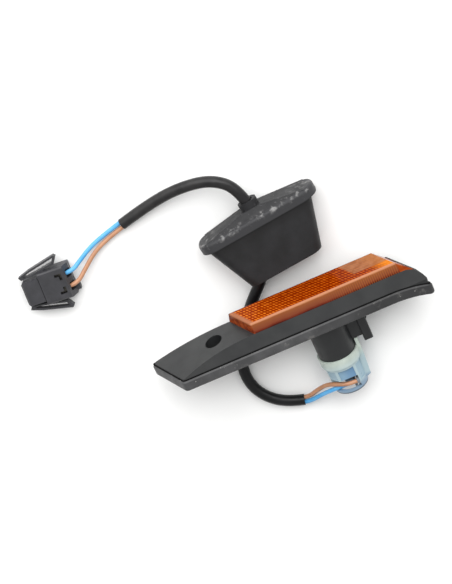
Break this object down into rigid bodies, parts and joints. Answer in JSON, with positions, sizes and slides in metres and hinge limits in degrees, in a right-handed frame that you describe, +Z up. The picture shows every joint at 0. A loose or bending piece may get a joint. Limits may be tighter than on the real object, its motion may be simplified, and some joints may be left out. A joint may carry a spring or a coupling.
{
  "type": "side repeater lamp",
  "caption": "Slanted amber side repeater lamp for a car wing, with gasket, bulb holder, sheathed lead, rubber grommet and two-way plug.",
  "frame": {"origin": "on the table, under the middle of the box around the lamp without its lead", "axes": "+Z up from the table the lamp lies on, +X along the lamp from the screw end to the tip, +Y to the lens side"},
  "size_m": [0.1848, 0.1305, 0.0363],
  "materials": {
    "gasket_rubber": "matte",
    "housing_plastic": "satin",
    "lens_amber": "gloss",
    "tray_white": "gloss",
    "bulb_glass": "gloss",
    "holder_nylon": "satin",
    "seal_rubber": "matte",
    "contact_brass": "satin",
    "sheath_black": "satin",
    "wire_blue": "satin",
    "wire_brown": "satin",
    "grommet_rubber": "matte",
    "plug_plastic": "satin",
    "terminal_tin": "satin"
  },
  "bodies": {
    "root": {"mounting_gasket": "gasket_rubber", "housing": "housing_plastic", "lens": "lens_amber", "reflex_plate": "lens_amber", "light_tray": "tray_white", "bulb": "bulb_glass", "bulb_holder": "holder_nylon", "holder_seal_ring": "seal_rubber", "contact_blue": "contact_brass", "contact_brown": "contact_brass", "lamp_wire_blue": "wire_blue", "lamp_wire_brown": "wire_brown", "cable_sheath": "sheath_black", "grommet": "grommet_rubber", "plug_wire_blue": "wire_blue", "plug_wire_brown": "wire_brown", "plug_housing": "plug_plastic", "terminal_blue": "terminal_tin", "terminal_brown": "terminal_tin"}
  },
  "joints": []
}
